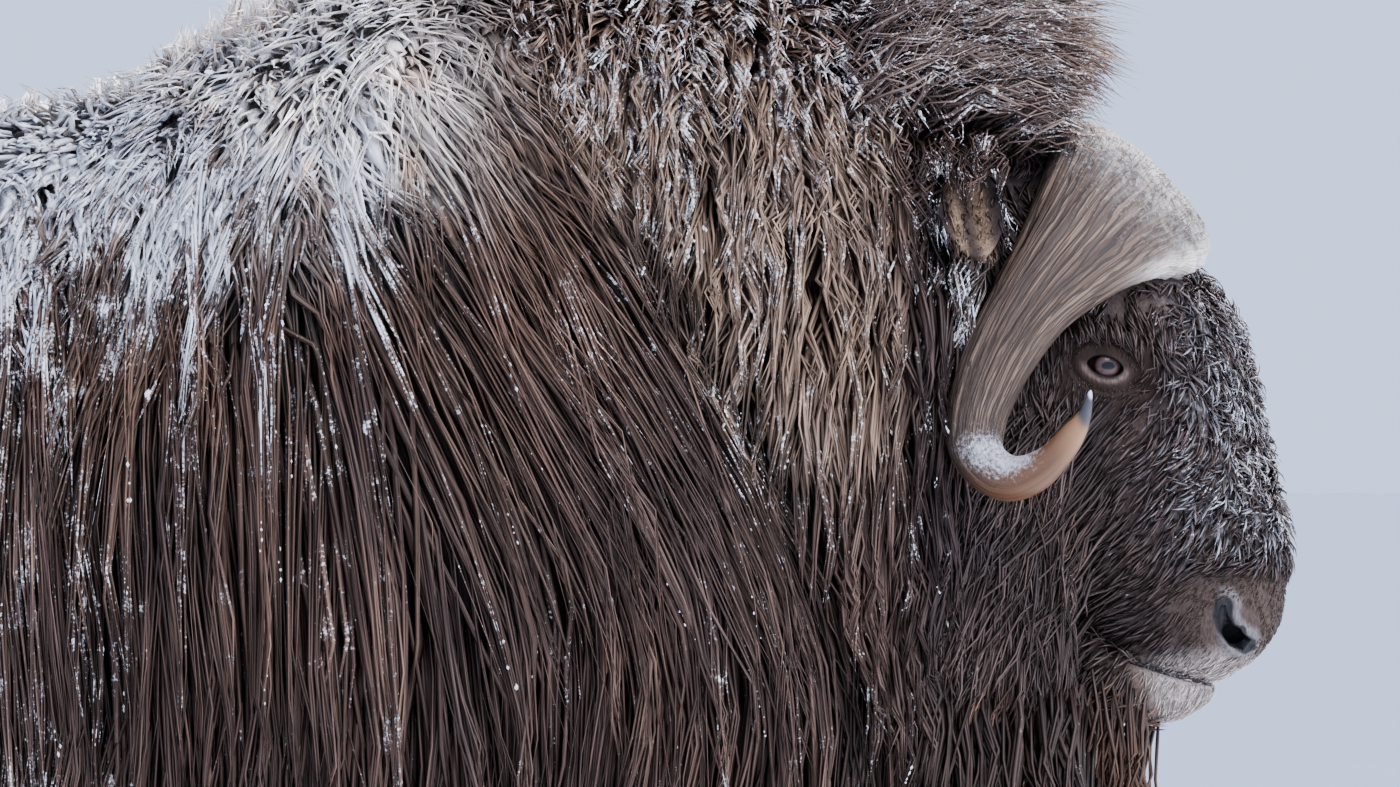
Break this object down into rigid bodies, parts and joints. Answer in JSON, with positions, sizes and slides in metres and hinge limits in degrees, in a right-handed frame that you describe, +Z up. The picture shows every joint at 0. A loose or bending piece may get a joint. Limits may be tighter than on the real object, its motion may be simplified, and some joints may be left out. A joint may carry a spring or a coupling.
{
  "type": "muskox",
  "caption": "Life-size still model of a bull muskox in full winter coat, standing square with its head carried low and its horns curving down and out.",
  "frame": {"origin": "on the ground, in the middle of the animal's footprint box", "axes": "+X towards the nose, +Y to the animal's left, +Z up"},
  "size_m": [2.1593, 0.7885, 1.4102],
  "materials": {
    "coat_dark": "long dark brown hair, paler and woolly over the back, dusted with frost",
    "coat_mane": "long tan to brown hair of the mane",
    "coat_face": "short dense dark brown hair, pale grey at the lips",
    "coat_stocking": "short pale hair of the lower legs",
    "horn": "keratin, coarse and ridged on the boss, smooth towards the dark tip",
    "eye": "wet, glossy",
    "hoof": "dull dark keratin"
  },
  "bodies": {
    "root": {"head": "coat_face", "neck": "coat_mane", "shoulders": "coat_dark", "torso": "coat_dark", "hindquarters": "coat_dark", "tail": "coat_dark", "ear_left": "coat_mane", "ear_right": "coat_mane", "eye_left": "eye", "eye_right": "eye", "horn_left": "horn", "horn_right": "horn", "leg_front_left": "coat_stocking", "leg_front_right": "coat_stocking", "leg_rear_left": "coat_stocking", "leg_rear_right": "coat_stocking", "claw_front_left_inner": "hoof", "claw_front_left_outer": "hoof", "claw_front_right_inner": "hoof", "claw_front_right_outer": "hoof", "claw_rear_left_inner": "hoof", "claw_rear_left_outer": "hoof", "claw_rear_right_inner": "hoof", "claw_rear_right_outer": "hoof", "dewclaw_front_left_inner": "hoof", "dewclaw_front_left_outer": "hoof", "dewclaw_front_right_inner": "hoof", "dewclaw_front_right_outer": "hoof", "dewclaw_rear_left_inner": "hoof", "dewclaw_rear_left_outer": "hoof", "dewclaw_rear_right_inner": "hoof", "dewclaw_rear_right_outer": "hoof"}
  },
  "joints": []
}
